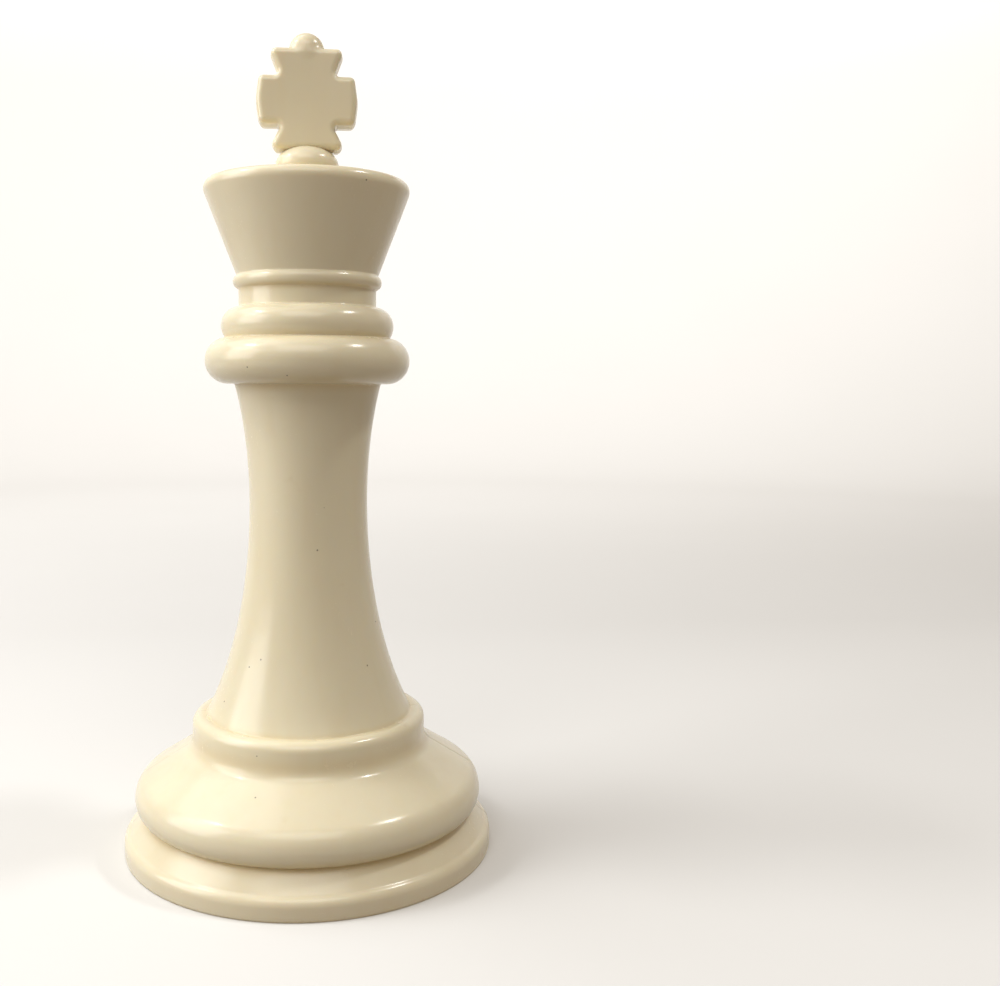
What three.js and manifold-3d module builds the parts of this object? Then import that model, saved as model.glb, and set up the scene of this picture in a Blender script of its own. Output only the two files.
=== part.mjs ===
// Giant garden chess king: two moulded half shells, a base plate on six screws, and a screw-in
// ballast plug. Millimetres, +Z up. The origin is the centre of the foot, on the ground. The halves
// part in the plane y = 0, which is also the mid-plane of the cross, and the front looks along -Y.
import * as THREE from "three";
import { mergeVertices } from "three/addons/utils/BufferGeometryUtils.js";
import Module from "manifold-3d";

const wasm = await Module();
wasm.setup();

// ---- Driving dimensions ----

// General
const WALL = 2.5; // wall of the moulded shells
const GAP = 0.3; // clearance wherever two pieces touch
const BODY_SIDES = 32; // facets round the body, a multiple of 4
const SMALL_SIDES = 12; // facets round screws, bosses and pins
const BALL_SIDES = 16;
const SAG = 0.15; // how far a facet may lie inside the arc that it stands for
const OVERCUT = 1; // how far a cut runs past a face, or a joined solid into one

// Foot: an upright lip, a rounded edge and a slope up to the groove under the cushion
const FOOT_RADIUS = 70.3;
const LIP_HEIGHT = 5;
const LIP_ROUNDING = 3.5;
const LIP_ROUNDING_END = 70; // degrees, where the rounded edge runs into the slope
const GROOVE_RADIUS = 61.5;
const GROOVE_HEIGHT = 15.2;

// Cushion: the big rounded moulding above the foot
const CUSHION_RADIUS = 66.1;
const CUSHION_HEIGHT = 21.2; // height of its widest line
const CUSHION_ROUNDING = 9.2; // radius of its shoulder
const CUSHION_UNDER_START = -75; // degrees, where its underside leaves the groove
const CUSHION_UNDER_END = -15;
const CUSHION_SLOPE = 58; // degrees from upright, where the shoulder runs into the slope
const CUSHION_SLOPE_LENGTH = 17.3;
const COVE_RADIUS = 5.6; // hollow curve between the slope and the step

// Step and stem
const STEP_RISE = 8.6;
const STEP_ROUNDING = 3.5;
const STEM_FOOT_RADIUS = 39.2;
const STEM_FOOT_LEAN = -0.53; // change of radius with height where the stem leaves the step
const STEM_FOOT_PULL = 33.2; // reach of that lean
const STEM_TOP_RADIUS = 27.5;
const STEM_TOP_LEAN = 0.26;
const STEM_TOP_PULL = 37.1;
const STEM_FACETS = 9;

// Collars and neck
const COLLAR_RADIUS = 38.4;
const COLLAR_ROUNDING = 8.6;
const COLLAR_HEIGHT = 185.2; // height of its widest line
const UPPER_COLLAR_RADIUS = 32.3;
const UPPER_COLLAR_ROUNDING = 7.1;
const UPPER_COLLAR_RISE = 12.9; // from collar to upper collar
const NECK_RADIUS = 25.7;
const RING_RADIUS = 27.8;
const RING_ROUNDING = 2.7;
const RING_RISE = 16.3; // from upper collar to ring

// Crown
const CROWN_FOOT_RADIUS = 26.4;
const CROWN_RADIUS = 38.2;
const CROWN_RISE = 36.9; // from ring to the crown's top edge
const RIM_ROUNDING = 3.4;
const RIM_ROUNDING_START = -15; // degrees, where the crown's side runs into the rim
const RIM_THICKENING = 1.5; // extra wall behind the rim
const CROWN_DOME_RISE = 2.5; // how far the crown's top rises towards the bead

// Bead, cross and ball on the crown
const BEAD_RADIUS = 11.7;
const BEAD_HALF_HEIGHT = 7.1;
const BEAD_FOOT_RADIUS = 10.1; // where it meets the crown
const BEAD_RISE = 6.1; // centre of the bead above the crown's top edge
const CROSS_THICKNESS = 13;
const CROSS_EDGE = 2; // rounding of the cross's front and back edges
const CROSS_SINK = 2.3; // how deep the cross's foot sits in the bead
const CROSS_LOWER_HEIGHT = 9; // foot to arms
const CROSS_ARM_HEIGHT = 17.8;
const CROSS_UPPER_HEIGHT = 9.8; // arms to top
const CROSS_HALF_FOOT = 14.5;
const CROSS_HALF_LOWER_WAIST = 9.6;
const CROSS_HALF_SPAN = 18.9;
const CROSS_ARM_BULGE = 1.2; // how far the ends of the arms swell
const CROSS_HALF_UPPER_WAIST = 10.4;
const CROSS_HALF_TOP = 14.3;
const BALL_RADIUS = 6.6;
const BALL_RISE = -0.4; // centre of the ball above the cross's top

// Base plate, in a seat in the foot's underside
const FOOT_RIM_WIDTH = 5.6; // flat ring that the king stands on
const PLATE_RECESS = 1.5;
const PLATE_THICKNESS = 3;
const LEDGE_RADIUS = 57; // opening above the plate's seat
const RIB_COUNT = 6;
const RIB_THICKNESS = 2;
const RIB_RISE = 5;
const RIB_END_GAP = 2; // from a rib's end to the screw posts

// Screws through the plate
const SCREW_COUNT = 6;
const SCREW_CIRCLE = 49;
const SCREW_RADIUS = 1.8;
const SCREW_LENGTH = 14; // below the head
const SCREW_HEAD_RADIUS = 3.6;
const SCREW_HEAD_HEIGHT = 1.9;
const SCREW_HEAD_EDGE = 0.3; // upright edge of the head
const SCREW_RECESS_WIDTH = 1;
const SCREW_RECESS_LENGTH = 4;
const SCREW_RECESS_DEPTH = 1.1;
const POST_RADIUS = 4.4;

// Filler neck, plug and seal
const PITCH = 3; // thread pitch
const THREAD_SIDES = 20; // facets round the thread
const PLUG_CORE_RADIUS = 9.6;
const PLUG_BORE_RADIUS = 7.2; // the plug's stem is a cup, open upwards
const THREAD_DEPTH = 1.6;
const THREAD_ROOT_WIDTH = 1.8;
const THREAD_CREST_WIDTH = 0.7;
const THREAD_ROOTING = 0.5; // how deep a ridge is rooted in its wall
const THREAD_RUN_IN = 3; // facets over which a ridge rises from its low end
const THREAD_LOW_END = 0.15; // share of the depth at that end
const PLUG_THREAD_TURNS = 1.75;
const NECK_THREAD_TURNS = 1.5;
const PLUG_FLANGE_RADIUS = 15;
const PLUG_FLANGE_THICKNESS = 2.4;
const PLUG_GRIP_WIDTH = 3;
const PLUG_GRIP_RISE = 1.2;
const PLUG_GRIP_INSET = 2; // from the flange's edge to the grip's end
const SEAL_THICKNESS = 1.2;
const WELL_DEPTH = 6; // from the plate's underside to the seal's seat
const NECK_LENGTH = 8.5; // threaded part of the filler
const NECK_WALL = 3.2;

// Locating pins between the halves
const PIN_RADIUS = 1.7;
const PIN_LENGTH = 4.5;
const PIN_BOSS_RADIUS = 4;
const PIN_BOSS_LENGTH = 8;
const PIN_BOSS_ROOTING = 1; // how deep a boss is rooted in the wall
const PIN_HEIGHTS = [26, 100, 236];

// ---- Derived places ----

const radians = THREE.MathUtils.degToRad;
const collarZ = COLLAR_HEIGHT;
const upperCollarZ = collarZ + UPPER_COLLAR_RISE;
const ringZ = upperCollarZ + RING_RISE;
const crownZ = ringZ + CROWN_RISE;
const beadZ = crownZ + BEAD_RISE;
const crossFootZ = beadZ + BEAD_HALF_HEIGHT - CROSS_SINK;
const crossTopZ = crossFootZ + CROSS_LOWER_HEIGHT + CROSS_ARM_HEIGHT + CROSS_UPPER_HEIGHT;
const plateBottom = PLATE_RECESS;
const plateTop = plateBottom + PLATE_THICKNESS;
const seatRadius = FOOT_RADIUS - FOOT_RIM_WIDTH;
const seatTop = plateTop + GAP;
const wellFloor = plateBottom + WELL_DEPTH;
const wellRadius = PLUG_FLANGE_RADIUS + 2 * GAP;
const neckTop = wellFloor + NECK_LENGTH;
const neckBore = PLUG_CORE_RADIUS + THREAD_DEPTH + GAP;
const sealTop = wellFloor - GAP;
const flangeTop = sealTop - SEAL_THICKNESS - GAP;
const beyond = 2 * crossTopZ; // farther out than any part of the king

// ---- Solids from three.js geometry ----

function solidOf(geometry) {
  const bare = geometry.index ? geometry.toNonIndexed() : geometry.clone();
  bare.deleteAttribute("normal");
  bare.deleteAttribute("uv");
  const merged = mergeVertices(bare, 1e-4);
  return new wasm.Manifold(
    new wasm.Mesh({
      numProp: 3,
      vertProperties: merged.attributes.position.array,
      triVerts: new Uint32Array(merged.index.array),
    }),
  );
}

function meshOf(name, solid, material) {
  const made = solid.getMesh();
  const geometry = new THREE.BufferGeometry();
  geometry.setAttribute("position", new THREE.BufferAttribute(made.vertProperties, 3));
  geometry.setIndex(new THREE.BufferAttribute(made.triVerts, 1));
  geometry.computeVertexNormals();
  const mesh = new THREE.Mesh(geometry, material);
  mesh.name = name;
  return mesh;
}

// Turns an outline of [radius, height] points, which starts and ends on the axis, about the Z axis.
function turned(outline, sides) {
  const points = outline.map(([radius, height]) => new THREE.Vector2(radius, height));
  return solidOf(new THREE.LatheGeometry(points, sides).rotateX(Math.PI / 2));
}

function box(low, high) {
  const size = high.map((value, i) => value - low[i]);
  const centre = high.map((value, i) => (value + low[i]) / 2);
  return solidOf(new THREE.BoxGeometry(...size).translate(...centre));
}

function upright(radius, low, high, sides, x = 0, y = 0) {
  const cylinder = new THREE.CylinderGeometry(radius, radius, high - low, sides);
  return solidOf(cylinder.rotateX(Math.PI / 2).translate(x, y, (low + high) / 2));
}

// A cylinder along Y.
function crosswise(radius, low, high, sides, x, z) {
  const cylinder = new THREE.CylinderGeometry(radius, radius, high - low, sides);
  return solidOf(cylinder.translate(x, (low + high) / 2, z));
}

// Points on an arc about [radius, height], from one angle to the other, 0 degrees pointing outwards.
function arc(centreRadius, centreHeight, rounding, from, to, heightRounding = rounding) {
  const widest = 2 * Math.acos(1 - SAG / Math.max(rounding, SAG));
  const steps = Math.ceil(Math.abs(radians(to - from)) / widest);
  const points = [];
  for (let i = 0; i <= steps; i++) {
    const angle = radians(from + ((to - from) * i) / steps);
    const radius = centreRadius + rounding * Math.cos(angle);
    points.push([radius, centreHeight + heightRounding * Math.sin(angle)]);
  }
  return points;
}

// Angle at which a circle about a given radius crosses another radius.
function crossingAngle(centreRadius, rounding, radius) {
  const share = THREE.MathUtils.clamp((radius - centreRadius) / rounding, -1, 1);
  return THREE.MathUtils.radToDeg(Math.acos(share));
}

// ---- Body outline, as the outer skin (inset 0) or the inner one (inset by the wall) ----

function footOutline() {
  const rounding = arc(FOOT_RADIUS - LIP_ROUNDING, LIP_HEIGHT, LIP_ROUNDING, 0, LIP_ROUNDING_END);
  return [[0, 0], [FOOT_RADIUS, 0], ...rounding, [GROOVE_RADIUS, GROOVE_HEIGHT]];
}

function cushionOutline(inset) {
  const centre = CUSHION_RADIUS - CUSHION_ROUNDING;
  const under = arc(
    GROOVE_RADIUS - inset,
    CUSHION_HEIGHT,
    CUSHION_RADIUS - GROOVE_RADIUS,
    CUSHION_UNDER_START,
    CUSHION_UNDER_END,
    CUSHION_HEIGHT - GROOVE_HEIGHT - inset / 2,
  );
  const shoulder = arc(centre, CUSHION_HEIGHT, CUSHION_ROUNDING - inset, 0, CUSHION_SLOPE);
  const slope = radians(CUSHION_SLOPE);
  const [outer, low] = shoulder[shoulder.length - 1];
  const footRadius = outer - CUSHION_SLOPE_LENGTH * Math.sin(slope);
  const footHeight = low + CUSHION_SLOPE_LENGTH * Math.cos(slope);
  const coveRadius = COVE_RADIUS + inset;
  const cove = arc(
    footRadius + coveRadius * Math.cos(slope),
    footHeight + coveRadius * Math.sin(slope),
    coveRadius,
    180 + CUSHION_SLOPE,
    180,
  );
  return [...under, ...shoulder, ...cove];
}

// Radius and height of the step's top edge, before rounding, on the outer skin.
function stepCorner() {
  const [radius, height] = cushionOutline(0).at(-1);
  return [radius, height + STEP_RISE];
}

function stepOutline(inset) {
  const [radius, top] = stepCorner();
  const rounding = STEP_ROUNDING - inset;
  return arc(radius - STEP_ROUNDING, top - STEP_ROUNDING, rounding, 0, 90);
}

function stemOutline(inset) {
  const foot = stepCorner()[1];
  const top = collarZ - COLLAR_ROUNDING;
  const curve = new THREE.CubicBezierCurve(
    new THREE.Vector2(STEM_FOOT_RADIUS, foot),
    new THREE.Vector2(STEM_FOOT_RADIUS + STEM_FOOT_PULL * STEM_FOOT_LEAN, foot + STEM_FOOT_PULL),
    new THREE.Vector2(STEM_TOP_RADIUS - STEM_TOP_PULL * STEM_TOP_LEAN, top - STEM_TOP_PULL),
    new THREE.Vector2(STEM_TOP_RADIUS, top),
  );
  const points = curve.getPoints(STEM_FACETS).map((point) => [point.x - inset, point.y]);
  points[0][1] -= inset;
  return points;
}

function collarOutline() {
  const lower = COLLAR_RADIUS - COLLAR_ROUNDING;
  const upper = UPPER_COLLAR_RADIUS - UPPER_COLLAR_ROUNDING;
  const lift = UPPER_COLLAR_RISE;
  const apart = Math.hypot(lower - upper, lift);
  const along = (apart ** 2 + COLLAR_ROUNDING ** 2 - UPPER_COLLAR_ROUNDING ** 2) / (2 * apart);
  const out = Math.sqrt(COLLAR_ROUNDING ** 2 - along ** 2);
  // The crease where the two round sections meet.
  const creaseRadius = lower + (along * (upper - lower) + out * lift) / apart;
  const creaseHeight = collarZ + (along * lift + out * (lower - upper)) / apart;
  const lowerEnd = THREE.MathUtils.radToDeg(Math.atan2(creaseHeight - collarZ, creaseRadius - lower));
  const upperStart = THREE.MathUtils.radToDeg(
    Math.atan2(creaseHeight - upperCollarZ, creaseRadius - upper),
  );
  const upperEnd = crossingAngle(upper, UPPER_COLLAR_ROUNDING, NECK_RADIUS);
  return [
    ...arc(lower, collarZ, COLLAR_ROUNDING, -90, lowerEnd),
    ...arc(upper, upperCollarZ, UPPER_COLLAR_ROUNDING, upperStart, upperEnd).slice(1),
  ];
}

function ringOutline() {
  const centre = RING_RADIUS - RING_ROUNDING;
  const start = -crossingAngle(centre, RING_ROUNDING, NECK_RADIUS);
  const end = crossingAngle(centre, RING_ROUNDING, CROWN_FOOT_RADIUS);
  return arc(centre, ringZ, RING_ROUNDING, start, end);
}

function crownOutline() {
  const rimRadius = CROWN_RADIUS - RIM_ROUNDING;
  const rim = arc(rimRadius, crownZ - RIM_ROUNDING, RIM_ROUNDING, RIM_ROUNDING_START, 90);
  const beadStart = -crossingAngle(0, BEAD_RADIUS, BEAD_FOOT_RADIUS);
  const bead = arc(0, beadZ, BEAD_RADIUS, beadStart, 90, BEAD_HALF_HEIGHT);
  return [
    ...rim,
    [BEAD_FOOT_RADIUS, crownZ + CROWN_DOME_RISE],
    ...bead.slice(1, -1),
    [0, beadZ + BEAD_HALF_HEIGHT],
  ];
}

function outerOutline() {
  return [
    ...footOutline(),
    ...cushionOutline(0),
    ...stepOutline(0),
    ...stemOutline(0),
    ...collarOutline(),
    ...ringOutline(),
    ...crownOutline(),
  ];
}

// Hollow behind a collar, so that its wall stays even.
function collarCore(radius, rounding, height) {
  const core = rounding - WALL;
  return [
    [NECK_RADIUS - WALL, height - core],
    ...arc(radius - rounding, height, core, -90, 90),
    [NECK_RADIUS - WALL, height + core],
  ];
}

function hollowOutline() {
  const crownTop = crownZ - WALL;
  return [
    [0, -OVERCUT],
    [seatRadius, -OVERCUT],
    [seatRadius, seatTop],
    [LEDGE_RADIUS, seatTop],
    [GROOVE_RADIUS - WALL, GROOVE_HEIGHT - WALL],
    ...cushionOutline(WALL),
    ...stepOutline(WALL),
    ...stemOutline(WALL),
    ...collarCore(COLLAR_RADIUS, COLLAR_ROUNDING, collarZ),
    ...collarCore(UPPER_COLLAR_RADIUS, UPPER_COLLAR_ROUNDING, upperCollarZ),
    [NECK_RADIUS - WALL, ringZ],
    [CROWN_RADIUS - WALL - RIM_THICKENING, crownTop],
    [0, crownTop],
  ];
}

// ---- Cross and ball ----

// Outline of the cross in X and Z, drawn in by an inset.
function crossShape(inset) {
  const foot = crossFootZ + inset;
  const armBottom = crossFootZ + CROSS_LOWER_HEIGHT + inset;
  const armTop = armBottom + CROSS_ARM_HEIGHT - 2 * inset;
  const top = crossTopZ - inset;
  const halfFoot = CROSS_HALF_FOOT - inset;
  const lowerWaist = CROSS_HALF_LOWER_WAIST - inset;
  const corner = CROSS_HALF_SPAN - CROSS_ARM_BULGE - inset;
  const upperWaist = CROSS_HALF_UPPER_WAIST - inset;
  const halfTop = CROSS_HALF_TOP - inset;
  const middle = (armBottom + armTop) / 2;
  const bulge = corner + 2 * CROSS_ARM_BULGE;
  const shape = new THREE.Shape();
  shape.moveTo(-halfFoot, foot);
  shape.lineTo(halfFoot, foot);
  shape.lineTo(lowerWaist, armBottom);
  shape.lineTo(corner, armBottom);
  shape.quadraticCurveTo(bulge, middle, corner, armTop);
  shape.lineTo(upperWaist, armTop);
  shape.lineTo(halfTop, top);
  shape.lineTo(-halfTop, top);
  shape.lineTo(-upperWaist, armTop);
  shape.lineTo(-corner, armTop);
  shape.quadraticCurveTo(-bulge, middle, -corner, armBottom);
  shape.lineTo(-lowerWaist, armBottom);
  shape.closePath();
  return shape;
}

// The shape is drawn in X and Y, then stood up so that its height runs along Z.
function standing(shape, thickness, edge) {
  const geometry = new THREE.ExtrudeGeometry(shape, {
    depth: thickness - 2 * edge,
    bevelEnabled: edge > 0,
    bevelThickness: edge,
    bevelSize: edge,
    bevelOffset: -edge,
    bevelSegments: 2,
    curveSegments: 4,
  });
  return solidOf(geometry.translate(0, 0, edge - thickness / 2).rotateX(Math.PI / 2));
}

function cross() {
  return standing(crossShape(0), CROSS_THICKNESS, CROSS_EDGE);
}

function crossCore() {
  return standing(crossShape(WALL), CROSS_THICKNESS - 2 * WALL, 0);
}

function ball() {
  const centre = crossTopZ + BALL_RISE;
  const outline = [
    [0, centre - BALL_RADIUS],
    ...arc(0, centre, BALL_RADIUS, -90, 90).slice(1, -1),
    [0, centre + BALL_RADIUS],
  ];
  return turned(outline, BALL_SIDES);
}

// ---- Half shells ----

function halfSpace(side) {
  return side < 0
    ? box([-beyond, -beyond, -beyond], [beyond, -GAP / 2, beyond])
    : box([-beyond, GAP / 2, -beyond], [beyond, beyond, beyond]);
}

// Where the screws and their posts stand: between the parting lines.
function screwPlaces() {
  return Array.from({ length: SCREW_COUNT }, (_, i) => {
    const angle = (Math.PI * (2 * i + 1)) / SCREW_COUNT;
    return [SCREW_CIRCLE * Math.cos(angle), SCREW_CIRCLE * Math.sin(angle)];
  });
}

// Inner radius of the shell at a height, read from the hollow's outline.
function hollowRadius(height) {
  const outline = hollowOutline();
  const after = outline.findIndex(([, z], i) => i > 2 && z >= height);
  const [lowRadius, low] = outline[after - 1];
  const [highRadius, high] = outline[after];
  return THREE.MathUtils.mapLinear(height, low, high, lowRadius, highRadius);
}

// Places of the locating pins: on both sides, close to the wall.
function pinPlaces() {
  return PIN_HEIGHTS.flatMap((height) => {
    const out = hollowRadius(height) - PIN_BOSS_RADIUS + PIN_BOSS_ROOTING;
    return [
      [-out, height],
      [out, height],
    ];
  });
}

function bodySkin() {
  return turned(outerOutline(), BODY_SIDES).add(cross()).add(ball());
}

function halfShell(side) {
  const skin = bodySkin();
  const inside = turned(hollowOutline(), BODY_SIDES).add(crossCore());
  const postTop = stepCorner()[1];
  const holeTop = plateBottom + SCREW_HEAD_HEIGHT + SCREW_LENGTH + 2 * GAP;
  let shell = skin.subtract(inside);
  for (const [x, y] of screwPlaces()) {
    if (y * side < 0) continue;
    const post = upright(POST_RADIUS, seatTop, postTop, SMALL_SIDES, x, y).intersect(skin);
    shell = shell.add(post).subtract(upright(SCREW_RADIUS + GAP, 0, holeTop, SMALL_SIDES, x, y));
  }
  for (const [x, z] of pinPlaces()) {
    const [low, high] = side < 0 ? [-PIN_BOSS_LENGTH, 0] : [0, PIN_BOSS_LENGTH];
    shell = shell.add(crosswise(PIN_BOSS_RADIUS, low, high, SMALL_SIDES, x, z).intersect(skin));
  }
  shell = shell.intersect(halfSpace(side));
  for (const [x, z] of pinPlaces()) {
    shell =
      side < 0
        ? shell.subtract(crosswise(PIN_RADIUS + GAP, -PIN_LENGTH - 2 * GAP, OVERCUT, SMALL_SIDES, x, z))
        : shell.add(crosswise(PIN_RADIUS, -PIN_LENGTH, OVERCUT, SMALL_SIDES, x, z));
  }
  return shell;
}

// ---- Thread ----

// A helical ridge: a trapezium that points outwards (depth > 0) or inwards (depth < 0) from a radius.
function threadRidge(rootRadius, depth, start, turns) {
  const root = rootRadius - Math.sign(depth) * THREAD_ROOTING;
  const steps = Math.round(turns * THREAD_SIDES);
  const positions = [];
  for (let i = 0; i <= steps; i++) {
    const angle = (2 * Math.PI * i) / THREAD_SIDES;
    const height = start + (PITCH * i) / THREAD_SIDES;
    const runIn = Math.min(1, THREAD_LOW_END + Math.min(i, steps - i) / THREAD_RUN_IN);
    const crest = rootRadius + depth * runIn;
    const section = [
      [root, -THREAD_ROOT_WIDTH / 2],
      [crest, -THREAD_CREST_WIDTH / 2],
      [crest, THREAD_CREST_WIDTH / 2],
      [root, THREAD_ROOT_WIDTH / 2],
    ];
    for (const [radius, lift] of section) {
      positions.push(radius * Math.cos(angle), radius * Math.sin(angle), height + lift);
    }
  }
  const faces = [];
  for (let i = 0; i < steps; i++) {
    for (let side = 0; side < 4; side++) {
      const next = (side + 1) % 4;
      const [a, b] = [4 * i + side, 4 * i + next];
      faces.push(a, a + 4, b, b, a + 4, b + 4);
    }
  }
  const last = 4 * steps;
  faces.push(0, 1, 2, 0, 2, 3, last, last + 2, last + 1, last, last + 3, last + 2);
  const geometry = new THREE.BufferGeometry();
  geometry.setAttribute("position", new THREE.Float32BufferAttribute(positions, 3));
  if (depth < 0) faces.reverse();
  geometry.setIndex(faces);
  return solidOf(geometry);
}

// ---- Base plate, screws, plug and seal ----

function screwSolid() {
  const tip = plateBottom + SCREW_LENGTH + SCREW_HEAD_HEIGHT;
  const outline = [
    [0, plateBottom],
    [SCREW_HEAD_RADIUS, plateBottom],
    [SCREW_HEAD_RADIUS, plateBottom + SCREW_HEAD_EDGE],
    [SCREW_RADIUS, plateBottom + SCREW_HEAD_HEIGHT],
    [SCREW_RADIUS, tip - SCREW_RADIUS],
    [0, tip],
  ];
  const half = SCREW_RECESS_LENGTH / 2;
  const slim = SCREW_RECESS_WIDTH / 2;
  const low = plateBottom - OVERCUT;
  const deep = plateBottom + SCREW_RECESS_DEPTH;
  return turned(outline, SMALL_SIDES)
    .subtract(box([-half, -slim, low], [half, slim, deep]))
    .subtract(box([-slim, -half, low], [slim, half, deep]));
}

// Countersunk hole for one screw, wider than the screw by the clearance.
function screwHole() {
  const wide = SCREW_HEAD_RADIUS + GAP;
  const narrow = SCREW_RADIUS + GAP;
  const outline = [
    [0, plateBottom - OVERCUT],
    [wide, plateBottom - OVERCUT],
    [wide, plateBottom + SCREW_HEAD_EDGE],
    [narrow, plateBottom + SCREW_HEAD_HEIGHT + GAP / 2],
    [narrow, plateTop + OVERCUT],
    [0, plateTop + OVERCUT],
  ];
  return turned(outline, SMALL_SIDES);
}

function basePlate() {
  const neckRadius = wellRadius + NECK_WALL;
  let plate = upright(seatRadius - GAP, plateBottom, plateTop, BODY_SIDES);
  plate = plate.add(upright(neckRadius, plateBottom, neckTop, BODY_SIDES));
  const rib = box(
    [neckRadius - OVERCUT, -RIB_THICKNESS / 2, plateTop - OVERCUT],
    [SCREW_CIRCLE - POST_RADIUS - RIB_END_GAP, RIB_THICKNESS / 2, plateTop + RIB_RISE],
  );
  for (let i = 0; i < RIB_COUNT; i++) {
    plate = plate.add(rib.rotate([0, 0, (360 * i) / RIB_COUNT]));
  }
  plate = plate.subtract(upright(wellRadius, plateBottom - OVERCUT, wellFloor, BODY_SIDES));
  plate = plate.subtract(upright(neckBore, plateBottom, neckTop + OVERCUT, BODY_SIDES));
  const ridgeStart = wellFloor + PITCH / 2 + THREAD_ROOT_WIDTH;
  plate = plate.add(threadRidge(neckBore, -THREAD_DEPTH, ridgeStart, NECK_THREAD_TURNS));
  for (const [x, y] of screwPlaces()) {
    plate = plate.subtract(screwHole().translate([x, y, 0]));
  }
  return plate;
}

function fillPlug() {
  const flangeBottom = flangeTop - PLUG_FLANGE_THICKNESS;
  const stemTop = neckTop - GAP;
  const outline = [
    [0, flangeBottom],
    [PLUG_FLANGE_RADIUS, flangeBottom],
    [PLUG_FLANGE_RADIUS, flangeTop],
    [PLUG_CORE_RADIUS, flangeTop],
    [PLUG_CORE_RADIUS, stemTop],
    [PLUG_BORE_RADIUS, stemTop],
    [PLUG_BORE_RADIUS, flangeTop],
    [0, flangeTop],
  ];
  const grip = box(
    [PLUG_GRIP_INSET - PLUG_FLANGE_RADIUS, -PLUG_GRIP_WIDTH / 2, flangeBottom - PLUG_GRIP_RISE],
    [PLUG_FLANGE_RADIUS - PLUG_GRIP_INSET, PLUG_GRIP_WIDTH / 2, flangeBottom + OVERCUT],
  );
  const ridgeStart = wellFloor + THREAD_ROOT_WIDTH;
  return turned(outline, BODY_SIDES)
    .add(grip)
    .add(threadRidge(PLUG_CORE_RADIUS, THREAD_DEPTH, ridgeStart, PLUG_THREAD_TURNS));
}

function plugSeal() {
  const outer = upright(PLUG_FLANGE_RADIUS, sealTop - SEAL_THICKNESS, sealTop, BODY_SIDES);
  const low = sealTop - SEAL_THICKNESS - OVERCUT;
  const hole = upright(PLUG_CORE_RADIUS + GAP, low, sealTop + OVERCUT, BODY_SIDES);
  return outer.subtract(hole);
}

// ---- Assembly ----

const finish = (color, roughness, metalness = 0) =>
  new THREE.MeshStandardMaterial({ color, roughness, metalness });
const glossIvory = () => finish(0xe9dfc0, 0.28);
const satinIvory = () => finish(0xe4dabc, 0.45);
const satinBlack = () => finish(0x2a2a2c, 0.5);
const mattRubber = () => finish(0x1b1b1c, 0.8);
const zincSteel = () => finish(0xb8b9ba, 0.35, 1);

const king = new THREE.Group();
king.add(meshOf("front_shell", halfShell(-1), glossIvory()));
king.add(meshOf("rear_shell", halfShell(1), glossIvory()));
king.add(meshOf("base_plate", basePlate(), satinIvory()));
screwPlaces().forEach(([x, y], i) => {
  const screw = meshOf(`base_screw_${i + 1}`, screwSolid(), zincSteel());
  screw.position.set(x, y, 0);
  king.add(screw);
});
king.add(meshOf("plug_seal", plugSeal(), mattRubber()));
king.add(meshOf("fill_plug", fillPlug(), satinBlack()));

export default king;
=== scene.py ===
"""Giant garden chess king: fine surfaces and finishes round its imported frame.

Metres, +Z up, the foot's centre on the ground at the origin, the front looking along -Y. The two half
shells part in the plane y = 0. Shapes are worked out in millimetres and scaled once, when a mesh is made.
Round pieces are outlines turned about Z. The cross and its ball are one surface drawn out of a distance
formula. Manifold booleans join them and cut the halves, posts, slots and holes.
"""
import math

import bpy
import numpy as np
from mathutils import Matrix, Vector


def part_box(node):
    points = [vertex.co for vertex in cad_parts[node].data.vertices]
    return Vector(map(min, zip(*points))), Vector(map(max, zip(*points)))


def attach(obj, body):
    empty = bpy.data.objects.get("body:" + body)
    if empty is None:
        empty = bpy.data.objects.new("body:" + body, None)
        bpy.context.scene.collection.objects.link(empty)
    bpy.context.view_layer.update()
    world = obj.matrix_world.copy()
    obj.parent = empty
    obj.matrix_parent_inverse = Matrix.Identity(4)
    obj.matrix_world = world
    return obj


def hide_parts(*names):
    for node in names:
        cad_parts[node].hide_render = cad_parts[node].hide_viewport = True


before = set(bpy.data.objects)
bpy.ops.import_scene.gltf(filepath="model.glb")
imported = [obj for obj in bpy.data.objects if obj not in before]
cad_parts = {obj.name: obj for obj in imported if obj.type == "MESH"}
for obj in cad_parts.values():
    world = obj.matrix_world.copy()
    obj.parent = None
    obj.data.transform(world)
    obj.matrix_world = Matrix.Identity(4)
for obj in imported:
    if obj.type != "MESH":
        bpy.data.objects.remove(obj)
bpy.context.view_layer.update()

MM = 0.001

# ---- Sizes taken from the frame, in millimetres ----

shell_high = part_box("front_shell")[1] / MM
plate_low, plate_high = (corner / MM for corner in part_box("base_plate"))
plug_low, plug_high = (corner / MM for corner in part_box("fill_plug"))
seal_low, seal_high = (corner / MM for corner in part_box("plug_seal"))

# ---- Sizes of the king's outline, in millimetres ----

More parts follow.
